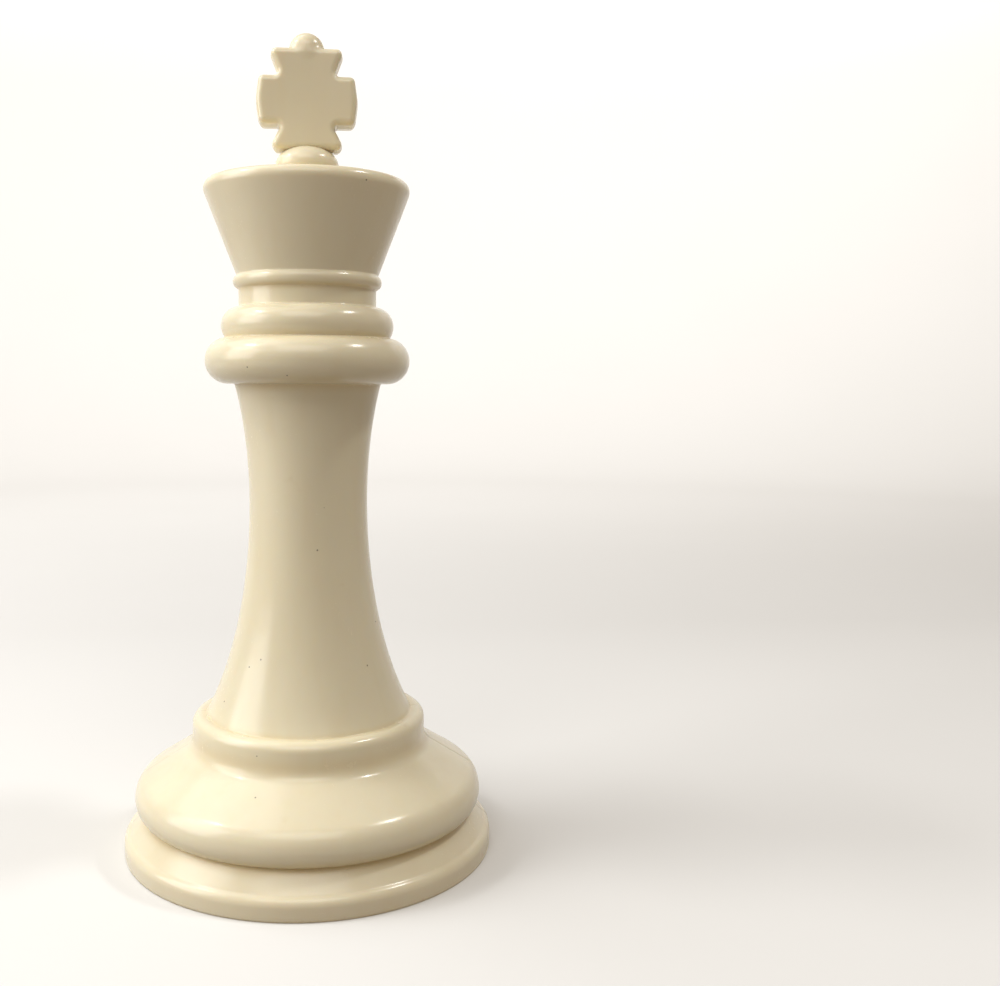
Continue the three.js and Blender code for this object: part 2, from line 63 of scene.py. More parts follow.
WALL = 2.5
FOOT_RADIUS = shell_high.x - 0.1
FOOT_EDGE = 0.7  # rounding where the lip meets the ground
LIP_HEIGHT = 5
LIP_ROUNDING = 3.5
LIP_ROUNDING_END = 70  # degrees
GROOVE_RADIUS = 61.5
GROOVE_HEIGHT = 15.2
CUSHION_RADIUS = 66.1
CUSHION_HEIGHT = 21.2
CUSHION_ROUNDING = 9.2
CUSHION_SLOPE = 58  # degrees from upright
CUSHION_SLOPE_LENGTH = 17.3
COVE_RADIUS = 5.6
STEP_RISE = 8.6
STEP_ROUNDING = 3.5
STEM_FOOT_RADIUS = 39.2
STEM_FOOT_LEAN = -0.53
STEM_FOOT_PULL = 33.2
STEM_TOP_RADIUS = 27.5
STEM_TOP_LEAN = 0.26
STEM_TOP_PULL = 37.1
COLLAR_RADIUS = 38.4
COLLAR_ROUNDING = 8.6
COLLAR_HEIGHT = 185.2
UPPER_COLLAR_RADIUS = 32.3
UPPER_COLLAR_ROUNDING = 7.1
UPPER_COLLAR_RISE = 12.9
NECK_RADIUS = 25.7
RING_RADIUS = 27.8
RING_ROUNDING = 2.7
RING_RISE = 16.3
CROWN_FOOT_RADIUS = 26.4
CROWN_RADIUS = 38.2
CROWN_RISE = 36.9
RIM_ROUNDING = 3.4
RIM_THICKENING = 1.5
CROWN_DOME_RISE = 2.5
BEAD_RADIUS = 11.7
BEAD_HALF_HEIGHT = 7.1
BEAD_FOOT_RADIUS = 10.1
BEAD_RISE = 6.1
BLUR = 0.35  # how far the moulding softens its creases

# Cross and ball
CROSS_THICKNESS = 13
CROSS_EDGE = 2.2  # rounding of its front and back edges
CROSS_DRAFT = 0.07  # how much its sides lean in towards the faces
CROSS_SINK = 2.3
CROSS_LOWER_HEIGHT = 9
CROSS_ARM_HEIGHT = 17.8
CROSS_UPPER_HEIGHT = 9.8
CROSS_HALF_FOOT = 14.5
CROSS_HALF_LOWER_WAIST = 9.6
CROSS_HALF_SPAN = 18.9
CROSS_ARM_BULGE = 1.2
CROSS_HALF_UPPER_WAIST = 10.4
CROSS_HALF_TOP = 14.3
CROSS_CORNER = 2.3  # rounding of its outer corners
CROSS_NOOK = 1.2  # rounding of its inner corners
BALL_RADIUS = 6.6
BALL_RISE = -0.43
BALL_FILLET = 1.6

# Parting line
SEAM_GAP = 0.05  # from the parting plane to each half
SEAM_EDGE = 0.2  # rounding of each half's edge at the parting line
SEAM_SHIFT = 0.08  # how far the rear half sits to the right of the front half

# Underside
FOOT_RIM_WIDTH = 5.6
LEDGE_RADIUS = 57
RIB_COUNT = 6
RIB_THICKNESS = 2
RIB_RISE = 5
RIB_SINK = 1  # how far a rib reaches into the plate and the neck
RIB_CLEARANCE = 2  # from a rib's end to the screw posts
RIB_EDGE = 0.3
SCREW_COUNT = 6
SCREW_CIRCLE = 49
SCREW_RADIUS = 1.8
SCREW_LENGTH = 14
SCREW_HEAD_RADIUS = 3.6
SCREW_HEAD_HEIGHT = 1.9
SCREW_HEAD_EDGE = 0.25
SCREW_HEAD_EDGE_END = 30  # degrees
SCREW_POINT_LENGTH = 2.2
SCREW_POINT_RADIUS = 0.25
SCREW_POINT_END = 0.1
SCREW_TURNS = (12, 71, 38, 5, 55, 83)  # degrees
RECESS_HALF_LENGTH = 2
RECESS_HALF_WIDTH = 0.5
RECESS_DEPTH = 1.1
RECESS_TAPER = 0.35  # share lost over the first millimetre
SINK_FLARE = 0.2
SINK_FLARE_DEPTH = 0.3
POST_RADIUS = 4.4
PLATE_THICKNESS = 3
PLATE_EDGE = 0.4
GAP = 0.3
BEYOND = 1  # how far a cutter reaches past what it cuts
NECK_WALL = 3.2
BORE_EDGE = 0.3
PLUG_CORE_RADIUS = 9.6
PLUG_BORE_RADIUS = 7.2
PLUG_FLANGE_THICKNESS = 2.4
PLUG_GRIP_WIDTH = 3
PLUG_GRIP_RISE = 1.2
PLUG_GRIP_INSET = 2
PLUG_GRIP_EDGE = 0.6
PLUG_EDGE = 0.5
PITCH = 3
THREAD_DEPTH = 1.6
THREAD_ROOT_WIDTH = 1.8
THREAD_CREST_WIDTH = 0.7
THREAD_ROOTING = 0.5
THREAD_RUN_IN = 50  # degrees over which a thread rises at each end
THREAD_END_SHARE = 0.1
BORE_THREAD_TURNS = 1.5
PLUG_THREAD_TURNS = 1.75
PIN_RADIUS = 1.7
PIN_LENGTH = 4.5
PIN_BOSS_RADIUS = 4
PIN_BOSS_LENGTH = 8
PIN_BOSS_SINK = 1
PIN_ROOT = 1
PIN_HEIGHTS = (26, 100, 236)

# Fineness of the surfaces
BODY_SIDES = 184  # facets round the shells
LONGEST = 1.8  # longest side of a shell's facet along the outline
TURN = 6  # largest bend between two rows, in degrees
CROSS_GRID = 0.33
SMALL_SIDES = 48
BORE_SIDES = 96
LARGE_SIDES = 128
THREAD_SIDES = 72
ARC_STEP = 4  # degrees between two points of an arc
CURVE_ROWS = 80
DOME_ROWS = 30
DENSE = 0.08  # spacing of an outline's points while it is softened
SHARP_ANGLE = 32  # edges that bend by more stay sharp, in degrees

# ---- Places worked out from the sizes ----

upper_collar_z = COLLAR_HEIGHT + UPPER_COLLAR_RISE
ring_z = upper_collar_z + RING_RISE
crown_z = ring_z + CROWN_RISE
bead_z = crown_z + BEAD_RISE
cross_foot_z = bead_z + BEAD_HALF_HEIGHT - CROSS_SINK
cross_top_z = cross_foot_z + CROSS_LOWER_HEIGHT + CROSS_ARM_HEIGHT + CROSS_UPPER_HEIGHT
seat_radius = FOOT_RADIUS - FOOT_RIM_WIDTH
plate_top = plate_low.z + PLATE_THICKNESS
seat_top = plate_top + GAP
seam_start = SEAM_GAP * 1.2  # where the rounding of each half's edge begins


# ---- Outlines: rows of [radius, height] ----

def arc(radius, height, rounding, start, end, rounding_up=None):
    """Points at radius + rounding cos a, height + rounding sin a, with a from start to end in degrees."""
    angles = np.radians(np.linspace(start, end, 2 + int(abs(end - start) / ARC_STEP)))
    up = rounding if rounding_up is None else rounding_up
    return np.column_stack([radius + rounding * np.cos(angles), height + up * np.sin(angles)])


def crossing(centre, rounding, radius):
    """Angle in degrees at which a circle about a radius crosses another radius."""
    return math.degrees(math.acos(max(-1, min(1, (radius - centre) / rounding))))


def joined(*parts):
    """The parts of an outline end to end, without doubled points."""
    points = np.vstack([np.atleast_2d(part) for part in parts])
    apart = np.hypot(*np.diff(points, axis=0).T) > 1e-6
    return points[np.r_[True, apart]]


def evened(outline, spacing):
    """The same line with its points at even distances."""
    along = np.r_[0, np.cumsum(np.hypot(*np.diff(outline, axis=0).T))]
    places = np.linspace(0, along[-1], int(along[-1] / spacing) + 2)
    return np.column_stack([np.interp(places, along, outline[:, i]) for i in (0, 1)])


def softened(outline, blur):
    """Each point becomes the Gaussian mean of the line round it, with the line mirrored in the axis."""
    even = evened(outline, DENSE)
    reach = int(4 * blur / DENSE) + 1
    mirror = np.array([-1, 1])
    padded = np.vstack([even[reach:0:-1] * mirror, even, even[-2 : -reach - 2 : -1] * mirror])
    weights = np.exp(-0.5 * (np.arange(-reach, reach + 1) * DENSE / blur) ** 2)
    weights /= weights.sum()
    soft = np.column_stack([np.convolve(padded[:, i], weights, "valid") for i in (0, 1)])
    soft[[0, -1], 0] = 0
    return soft


def thinned(outline, longest, turn):
    """Points at even steps of the running sum of length / longest + bend / turn along a dense line."""
    step = np.diff(outline, axis=0)
    length = np.hypot(*step.T)
    heading = np.unwrap(np.arctan2(step[:, 1], step[:, 0]))
    bend = np.abs(np.gradient(heading))
    running = np.r_[0, np.cumsum(length / longest + bend / math.radians(turn))]
    places = np.linspace(0, running[-1], int(running[-1]) + 2)
    return np.column_stack([np.interp(places, running, outline[:, i]) for i in (0, 1)])


def step_corner():
    """Radius and height of the step's top edge before it is rounded."""
    slope = math.radians(CUSHION_SLOPE)
    out = CUSHION_RADIUS - CUSHION_ROUNDING * (1 - math.cos(slope)) - CUSHION_SLOPE_LENGTH * math.sin(slope)
    up = CUSHION_HEIGHT + CUSHION_ROUNDING * math.sin(slope) + CUSHION_SLOPE_LENGTH * math.cos(slope)
    radius = out - COVE_RADIUS * (1 - math.cos(slope))
    return radius, up + COVE_RADIUS * math.sin(slope) + STEP_RISE


def stem_curve(inset=0):
    """Cubic curve (1-t)^3 a + 3 (1-t)^2 t b + 3 (1-t) t^2 c + t^3 d from the step up to the collar."""
    foot, top = step_corner()[1], COLLAR_HEIGHT - COLLAR_ROUNDING
    a = np.array([STEM_FOOT_RADIUS, foot])
    b = a + STEM_FOOT_PULL * np.array([STEM_FOOT_LEAN, 1])
    d = np.array([STEM_TOP_RADIUS, top])
    c = d - STEM_TOP_PULL * np.array([STEM_TOP_LEAN, 1])
    t = np.linspace(0, 1, CURVE_ROWS)[:, None]
    curve = (1 - t) ** 3 * a + 3 * (1 - t) ** 2 * t * b + 3 * (1 - t) * t ** 2 * c + t ** 3 * d
    return curve - [inset, 0]


def foot_part():
    """Flat ring, small bottom edge, rounded lip, and a straight fall to the groove."""
    edge = arc(FOOT_RADIUS - FOOT_EDGE, FOOT_EDGE, FOOT_EDGE, -90, 0)
    lip = arc(FOOT_RADIUS - LIP_ROUNDING, LIP_HEIGHT, LIP_ROUNDING, 0, LIP_ROUNDING_END)
    return joined([0, 0], edge, lip, [GROOVE_RADIUS, GROOVE_HEIGHT])


def cushion_part(inset=0):
    """Quarter ellipse under the widest line, then shoulder, straight slope and cove up to the step."""
    under = arc(
        GROOVE_RADIUS - inset, CUSHION_HEIGHT, CUSHION_RADIUS - GROOVE_RADIUS, -88, 0,
        CUSHION_HEIGHT - GROOVE_HEIGHT - inset / 2,
    )
    shoulder = arc(
        CUSHION_RADIUS - CUSHION_ROUNDING, CUSHION_HEIGHT, CUSHION_ROUNDING - inset, 0, CUSHION_SLOPE
    )
    corner_radius, corner_height = step_corner()
    cove = arc(
        corner_radius + COVE_RADIUS, corner_height - STEP_RISE, COVE_RADIUS + inset,
        180 + CUSHION_SLOPE, 180,
    )
    return joined(under, shoulder, cove)


def step_part(inset=0):
    """Quarter circle round the step's top edge."""
    radius, top = step_corner()
    return arc(radius - STEP_ROUNDING, top - STEP_ROUNDING, STEP_ROUNDING - inset, 0, 90)


def collar_part():
    """Two round sections; each ends in the crease where their circles cross."""
    lower = COLLAR_RADIUS - COLLAR_ROUNDING
    upper = UPPER_COLLAR_RADIUS - UPPER_COLLAR_ROUNDING
    apart = math.hypot(lower - upper, UPPER_COLLAR_RISE)
    along = (apart ** 2 + COLLAR_ROUNDING ** 2 - UPPER_COLLAR_ROUNDING ** 2) / (2 * apart)
    out = math.sqrt(COLLAR_ROUNDING ** 2 - along ** 2)
    radius = lower + (along * (upper - lower) + out * UPPER_COLLAR_RISE) / apart
    height = COLLAR_HEIGHT + (along * UPPER_COLLAR_RISE + out * (lower - upper)) / apart
    lower_end = math.degrees(math.atan2(height - COLLAR_HEIGHT, radius - lower))
    upper_start = math.degrees(math.atan2(height - upper_collar_z, radius - upper))
    upper_end = crossing(upper, UPPER_COLLAR_ROUNDING, NECK_RADIUS)
    return joined(
        arc(lower, COLLAR_HEIGHT, COLLAR_ROUNDING, -90, lower_end),
        arc(upper, upper_collar_z, UPPER_COLLAR_ROUNDING, upper_start, upper_end),
    )


def ring_part():
    """Arc of the thin ring, from where it crosses the neck to where it crosses the crown's foot."""
    centre = RING_RADIUS - RING_ROUNDING
    start = -crossing(centre, RING_ROUNDING, NECK_RADIUS)
    return arc(centre, ring_z, RING_ROUNDING, start, crossing(centre, RING_ROUNDING, CROWN_FOOT_RADIUS))


def crown_part():
    """Rim, a shallow dome that rises as the square of the way in, and the bead's ellipse."""
    rim_radius = CROWN_RADIUS - RIM_ROUNDING
    rim = arc(rim_radius, crown_z - RIM_ROUNDING, RIM_ROUNDING, -20, 90)
    way_in = np.linspace(0, 1, DOME_ROWS)[1:]
    dome = np.column_stack([
        rim_radius + (BEAD_FOOT_RADIUS - rim_radius) * way_in,
        crown_z + CROWN_DOME_RISE * (1 - (1 - way_in) ** 2),
    ])
    start = -crossing(0, BEAD_RADIUS, BEAD_FOOT_RADIUS)
    return joined(rim, dome, arc(0, bead_z, BEAD_RADIUS, start, 90, BEAD_HALF_HEIGHT))


def body_outline():
    """All parts end to end, softened, then thinned to rows."""
    whole = joined(
        foot_part(), cushion_part(), step_part(), stem_curve(), collar_part(), ring_part(), crown_part()
    )
    return thinned(softened(whole, BLUR), LONGEST, TURN)


def hollow_core(radius, rounding, height):
    """The round hollow behind a collar, so that its wall stays even."""
    core = rounding - WALL
    inner = NECK_RADIUS - WALL
    back = arc(radius - rounding, height, core, -90, 90)
    return joined([inner, height - core], back, [inner, height + core])


def hollow_outline():
    """The base plate's seat, then the body's own parts drawn in by the wall, up to a flat ceiling."""
    below = -2
    ceiling = crown_z - WALL
    whole = joined(
        [[0, below], [seat_radius - below + PLATE_EDGE, below], [seat_radius, PLATE_EDGE]],
        [[seat_radius, seat_top], [LEDGE_RADIUS, seat_top]],
        [GROOVE_RADIUS - WALL, GROOVE_HEIGHT - WALL],
        cushion_part(WALL),
        step_part(WALL),
        stem_curve(WALL)[1:],
        hollow_core(COLLAR_RADIUS, COLLAR_ROUNDING, COLLAR_HEIGHT),
        hollow_core(UPPER_COLLAR_RADIUS, UPPER_COLLAR_ROUNDING, upper_collar_z),
        [NECK_RADIUS - WALL, ring_z],
        [[CROWN_RADIUS - WALL - RIM_THICKENING, ceiling], [0, ceiling]],
    )
    return thinned(evened(whole, 0.2), 4, 20)


# ---- Meshes ----

def mesh_object(name, points, faces):
    """Points in millimetres and rows of corner numbers (3 or 4 to a row) as an object in the scene."""
    mesh = bpy.data.meshes.new(name)
    sizes = np.concatenate([np.full(len(rows), rows.shape[1]) for rows in faces])
    corners = np.concatenate([rows.ravel() for rows in faces])
    mesh.vertices.add(len(points))
    mesh.vertices.foreach_set("co", (points * MM).astype(np.float32).ravel())
    mesh.loops.add(len(corners))
    mesh.loops.foreach_set("vertex_index", corners.astype(np.int32))
    mesh.polygons.add(len(sizes))
    mesh.polygons.foreach_set("loop_start", np.r_[0, np.cumsum(sizes)[:-1]].astype(np.int32))
    mesh.update(calc_edges=True)
    made = bpy.data.objects.new(name, mesh)
    bpy.context.scene.collection.objects.link(made)
    return made


def ring_faces(rows, columns):
    """Four-sided faces between neighbouring rings, closed round, with a fan to a pole at each end.

    Point 0 is the lower pole, then come the rings, and the last point is the upper pole.
    """
    row, column = np.meshgrid(np.arange(rows - 1), np.arange(columns), indexing="ij")
    beside = (column + 1) % columns
    low, high = 1 + row * columns, 1 + (row + 1) * columns
    sides = np.stack([low + column, low + beside, high + beside, high + column], -1).reshape(-1, 4)
    around = np.arange(columns)
    beside = (around + 1) % columns
    last = 1 + (rows - 1) * columns
    lower = np.column_stack([np.zeros(columns, int), 1 + beside, 1 + around])
    upper = np.column_stack([np.full(columns, last + columns), last + around, last + beside])
    return [sides, np.vstack([lower, upper])]


def turned(name, outline, sides=SMALL_SIDES, x=0, y=0):
    """x = r cos a, y = r sin a, z = h for an outline that starts and ends on the axis."""
    angles = 2 * math.pi * np.arange(sides) / sides
    radius, height = outline[1:-1, 0, None], outline[1:-1, 1, None]
    rings = np.stack(np.broadcast_arrays(radius * np.cos(angles), radius * np.sin(angles), height), -1)
    points = np.vstack([[0, 0, outline[0, 1]], rings.reshape(-1, 3), [0, 0, outline[-1, 1]]])
    return mesh_object(name, points + [x, y, 0], ring_faces(len(outline) - 2, sides))


def seam_inset(off_plane):
    """How far the skin falls back near the parting plane: a quarter circle of SEAM_EDGE."""
    short = np.clip(1 - (np.abs(off_plane) - seam_start) / SEAM_EDGE, 0, 1)
    return SEAM_EDGE * (1 - np.sqrt(1 - short ** 2))


def seam_shift(off_plane):
    """Sideways shift of the rear half, none on the front half."""
    return SEAM_SHIFT * np.clip(0.5 + off_plane / SEAM_GAP / 2, 0, 1)


def turned_body(name, outline, sides):
    """The outline turned about Z, with columns at set distances from the parting plane on both sides.

    Between them the columns have even angles. The skin is drawn in along its normal by seam_inset, and
    the rear half is shifted by seam_shift.
    """
    quarter = np.radians(np.linspace(0, 90, 6))
    offsets = np.r_[0, seam_start + SEAM_EDGE * (1 - np.cos(quarter))]
    radius, height = outline[1:-1, 0], outline[1:-1, 1]
    cap = np.radians(np.linspace(0, 10, len(offsets)))
    near = np.minimum(np.arcsin(np.clip(offsets / radius[:, None], 0, 1)), cap)
    share = np.linspace(0, 1, sides // 2)[1:-1]
    middle = near[:, -1:] + (math.pi - 2 * near[:, -1:]) * share
    half = np.hstack([near, middle, math.pi - near[:, :0:-1]])
    angles = np.hstack([half, math.pi + half])
    along = np.gradient(outline, axis=0)[1:-1]
    along /= np.hypot(*along.T)[:, None]
    normal_out, normal_up = along[:, 1:], -along[:, :1]
    inset = seam_inset(radius[:, None] * np.sin(angles))
    reach = radius[:, None] - inset * normal_out
    x, y = reach * np.cos(angles), reach * np.sin(angles)
    rings = np.stack([x + seam_shift(y), y, height[:, None] - inset * normal_up], -1)
    points = np.vstack([[0, 0, outline[0, 1]], rings.reshape(-1, 3), [0, 0, outline[-1, 1]]])
    return mesh_object(name, points, ring_faces(len(radius), angles.shape[1]))


def block(name, low, high):
    """A plain box, used only to cut with."""
    corner = np.array(np.meshgrid([0, 1], [0, 1], [0, 1], indexing="ij")).reshape(3, -1).T
    points = np.array(low) + corner * (np.array(high, float) - low)
    faces = np.array([[0, 1, 3, 2], [4, 6, 7, 5], [0, 4, 5, 1], [2, 3, 7, 6], [0, 2, 6, 4], [1, 5, 7, 3]])
    return mesh_object(name, points, [faces])


def soft_bar(name, half, rounding, centre):
    """A ball of the rounding's size, pulled apart to a bar: p = rounding n + sign(n) (half - rounding)."""
    rows, columns = 24, 48
    up = np.radians(np.linspace(-90, 90, rows + 2))[1:-1, None]
    round_ = 2 * math.pi * (np.arange(columns) + 0.5) / columns
    normal = np.stack(np.broadcast_arrays(
        np.cos(up) * np.cos(round_), np.cos(up) * np.sin(round_), np.sin(up)
    ), -1).reshape(-1, 3)
    inner = np.array(half) - rounding
    body = rounding * normal + np.sign(normal) * inner
    poles = np.array([[0, 0, -half[2]], [0, 0, half[2]]])
    points = np.vstack([poles[:1], body, poles[1:]]) + centre
    return mesh_object(name, points, ring_faces(rows, columns))


def tapered(solid, low, taper):
    """x and y times 1 - taper (z - low), with z - low held between 0 and 1 millimetre."""
    flat = np.empty(3 * len(solid.data.vertices))
    solid.data.vertices.foreach_get("co", flat)
    points = flat.reshape(-1, 3)
    points[:, :2] *= 1 - taper * np.clip(points[:, 2:] / MM - low, 0, 1)
    solid.data.vertices.foreach_set("co", flat)


def cylinder(name, radius, low, high, x=0, y=0, sides=SMALL_SIDES):
    """An upright cylinder: a square-cornered outline turned about its axis."""
    outline = np.array([[0, low], [radius, low], [radius, high], [0, high]], float)
    return turned(name, outline, sides, x, y)


def crosswise(name, radius, low, high, x, z):
    """A cylinder along Y."""
    made = cylinder(name, radius, low, high)
    made.data.transform(Matrix.Translation((x * MM, 0, z * MM)) @ Matrix.Rotation(-math.pi / 2, 4, "X"))
    return made


def helix(name, root, depth, start, turns):
    """A ridge with a trapezium section carried along a helix; it rises from low at both ends."""
    angle = 2 * math.pi * np.arange(int(turns * THREAD_SIDES) + 1) / THREAD_SIDES
    run_in = np.clip(np.minimum(angle, angle[-1] - angle) / math.radians(THREAD_RUN_IN), THREAD_END_SHARE, 1)
    crest = root + depth * run_in
    rooted = np.full_like(angle, root - math.copysign(THREAD_ROOTING, depth))
    wide, slim = THREAD_ROOT_WIDTH / 2, THREAD_CREST_WIDTH / 2
    radius = np.stack([rooted, crest, crest, rooted], -1)
    height = (start + PITCH * angle / (2 * math.pi))[:, None] + np.array([-wide, -slim, slim, wide])
    points = np.stack([radius * np.cos(angle)[:, None], radius * np.sin(angle)[:, None], height], -1)
    step, side = np.meshgrid(np.arange(len(angle) - 1), np.arange(4), indexing="ij")
    a, b = 4 * step + side, 4 * step + (side + 1) % 4
    sides_ = np.stack([a, a + 4, b + 4, b], -1).reshape(-1, 4)
    last = 4 * (len(angle) - 1)
    ends = np.array([[0, 1, 2, 3], [last + 3, last + 2, last + 1, last]])
    faces = np.vstack([sides_, ends])
    return mesh_object(name, points.reshape(-1, 3), [faces if depth > 0 else faces[:, ::-1]])


def worked(base, *steps):
    """The base solid after a chain of joins ("UNION"), cuts ("DIFFERENCE") and "INTERSECT"s."""
    for operation, other in steps:
        modifier = base.modifiers.new(operation.title(), "BOOLEAN")
        modifier.operation = operation
        modifier.solver = "MANIFOLD"
        modifier.object = other
    mesh = bpy.data.meshes.new_from_object(base.evaluated_get(bpy.context.evaluated_depsgraph_get()))
    made = bpy.data.objects.new(base.name, mesh)
    bpy.context.scene.collection.objects.link(made)
    return made


def cleared(*objects):
    """Takes working objects out of the scene."""
    for spare in objects:
        bpy.data.objects.remove(spare)


def finished(made, name, body, node, finish):
    """Smooth shading up to the sharp angle, the finish, and the piece's place in the frame."""
    made.name = made.data.name = name
    mesh = made.data
    mesh.materials.clear()
    mesh.materials.append(finish)
    mesh.shade_smooth()
    mesh.set_sharp_from_angle(angle=math.radians(SHARP_ANGLE))
    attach(made, body)
    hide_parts(node)


# ---- The cross and its ball, from a distance formula ----

def rounded_corners(corners):
    """Corners [x, z, rounding] of a polygon, each replaced by the arc that touches both its sides."""
    corners = np.array(corners, float)
    points = []
    for before, corner, after in zip(np.roll(corners, 1, 0), corners, np.roll(corners, -1, 0)):
        here = corner[:2]
        back, on = (before[:2] - here), (after[:2] - here)
        back, on = back / np.hypot(*back), on / np.hypot(*on)
        half = math.acos(np.clip(back @ on, -1, 1)) / 2
        bisector = (back + on) / np.hypot(*(back + on))
        centre = here + bisector * corner[2] / math.sin(half)
        touch = here + np.array([back, on]) * corner[2] / math.tan(half)
        start, end = np.arctan2(*(touch - centre).T[::-1])
        sweep = (end - start + math.pi) % (2 * math.pi) - math.pi
        angles = start + sweep * np.linspace(0, 1, 9)
        points.append(centre + corner[2] * np.column_stack([np.cos(angles), np.sin(angles)]))
    return np.vstack(points)


def cross_outline():
    """Half the corners, from the foot up the right side, then the same mirrored down the left side."""
    arm_low = cross_foot_z + CROSS_LOWER_HEIGHT
    arm_high = arm_low + CROSS_ARM_HEIGHT
    arm_end = CROSS_HALF_SPAN - CROSS_ARM_BULGE
    middle = (arm_low + arm_high) / 2
    right = [
        [CROSS_HALF_FOOT, cross_foot_z, CROSS_CORNER],
        [CROSS_HALF_LOWER_WAIST, arm_low, CROSS_NOOK],
        [arm_end, arm_low, CROSS_CORNER],
        [CROSS_HALF_SPAN, middle, CROSS_ARM_HEIGHT],
        [arm_end, arm_high, CROSS_CORNER],
        [CROSS_HALF_UPPER_WAIST, arm_high, CROSS_NOOK],
        [CROSS_HALF_TOP, cross_top_z, CROSS_CORNER],
    ]
    left = [[-x, z, rounding] for x, z, rounding in right[::-1]]
    return rounded_corners(right + left)


def outline_distance(x, z, outline):
    """Least distance from points to the sides of a closed outline, negative inside it."""
    point = np.stack([x, z], -1)[:, None, :]
    start, end = outline[None], np.roll(outline, -1, 0)[None]
    side = end - start
    share = np.clip(((point - start) * side).sum(-1) / (side ** 2).sum(-1), 0, 1)
    distance = np.sqrt((((point - start) - share[..., None] * side) ** 2).sum(-1).min(1))
    above = start[..., 1] > point[..., 1]
    crosses = above != (end[..., 1] > point[..., 1])
    slope = side[..., 0] / np.where(side[..., 1] == 0, 1, side[..., 1])
    left = point[..., 0] < start[..., 0] + (point[..., 1] - start[..., 1]) * slope
    inside = (crosses & left).sum(1) % 2 == 1
    return np.where(inside, -distance, distance)


def finial_distance(x, y, z, flat):
    """Rounded slab of the cross (flat is its outline's distance), blended with the ball by a fillet.

    Slab: length of the positive parts of (flat + edge, |y| - half + edge), minus the edge rounding.
    The blend of two distances a and b is min(a, b) - h^2 / (4 k) with h = max(k - |a - b|, 0).
    """
    across = flat + CROSS_DRAFT * np.abs(y) + CROSS_EDGE
    through = np.abs(y) - CROSS_THICKNESS / 2 + CROSS_EDGE
    outside = np.hypot(np.maximum(across, 0), np.maximum(through, 0))
    slab = outside + np.minimum(np.maximum(across, through), 0) - CROSS_EDGE
    ball = np.sqrt(x ** 2 + y ** 2 + (z - cross_top_z - BALL_RISE) ** 2) - BALL_RADIUS
    near = np.maximum(BALL_FILLET - np.abs(slab - ball), 0)
    return np.minimum(slab, ball) - near ** 2 / (4 * BALL_FILLET) + seam_inset(y)


def crossed_cells(value, xs, ys, zs):
    """One point in every grid cell that the surface crosses: the mean of the crossings on its edges."""
    grid = np.stack(np.meshgrid(xs, ys, zs, indexing="ij"), -1)
    cells = tuple(n - 1 for n in value.shape)
    total, count = np.zeros(cells + (3,)), np.zeros(cells)
    for axis in range(3):
        low = [slice(None)] * 3
        high = [slice(None)] * 3
        low[axis], high[axis] = slice(0, -1), slice(1, None)
        low, high = tuple(low), tuple(high)
        a, b = value[low], value[high]
        cut = (a < 0) != (b < 0)
        share = np.where(cut, a / np.where(a == b, 1, a - b), 0)[..., None]
        place = np.where(cut[..., None], grid[low] * (1 - share) + grid[high] * share, 0)
        others = [i for i in range(3) if i != axis]
        for first in (0, 1):
            for second in (0, 1):
                pick = [slice(None)] * 3
                pick[others[0]] = slice(first, first + cells[others[0]])
                pick[others[1]] = slice(second, second + cells[others[1]])
                total += place[tuple(pick)]
                count += cut[tuple(pick)]
    return total, count


def net_faces(value, number):
    """A four-sided face across every grid edge whose ends lie on both sides of the surface."""
    faces = []
    for axis in range(3):
        b, c = (axis + 1) % 3, (axis + 2) % 3
        inner = [slice(1, -1)] * 3
        inner[axis] = slice(0, -1)
        beyond = list(inner)
        beyond[axis] = slice(1, None)
        starts_in, ends_in = value[tuple(inner)] < 0, value[tuple(beyond)] < 0
        at = np.argwhere(starts_in != ends_in)
        outward = starts_in[tuple(at.T)]
        at[:, b] += 1
        at[:, c] += 1
        step_b, step_c = np.eye(3, dtype=int)[b], np.eye(3, dtype=int)[c]
        around = [at - step_b - step_c, at - step_c, at, at - step_b]
        rows = np.stack([number[tuple(place.T)] for place in around], -1)
        rows[~outward] = rows[~outward][:, ::-1]
        faces.append(rows)
    return np.vstack(faces)


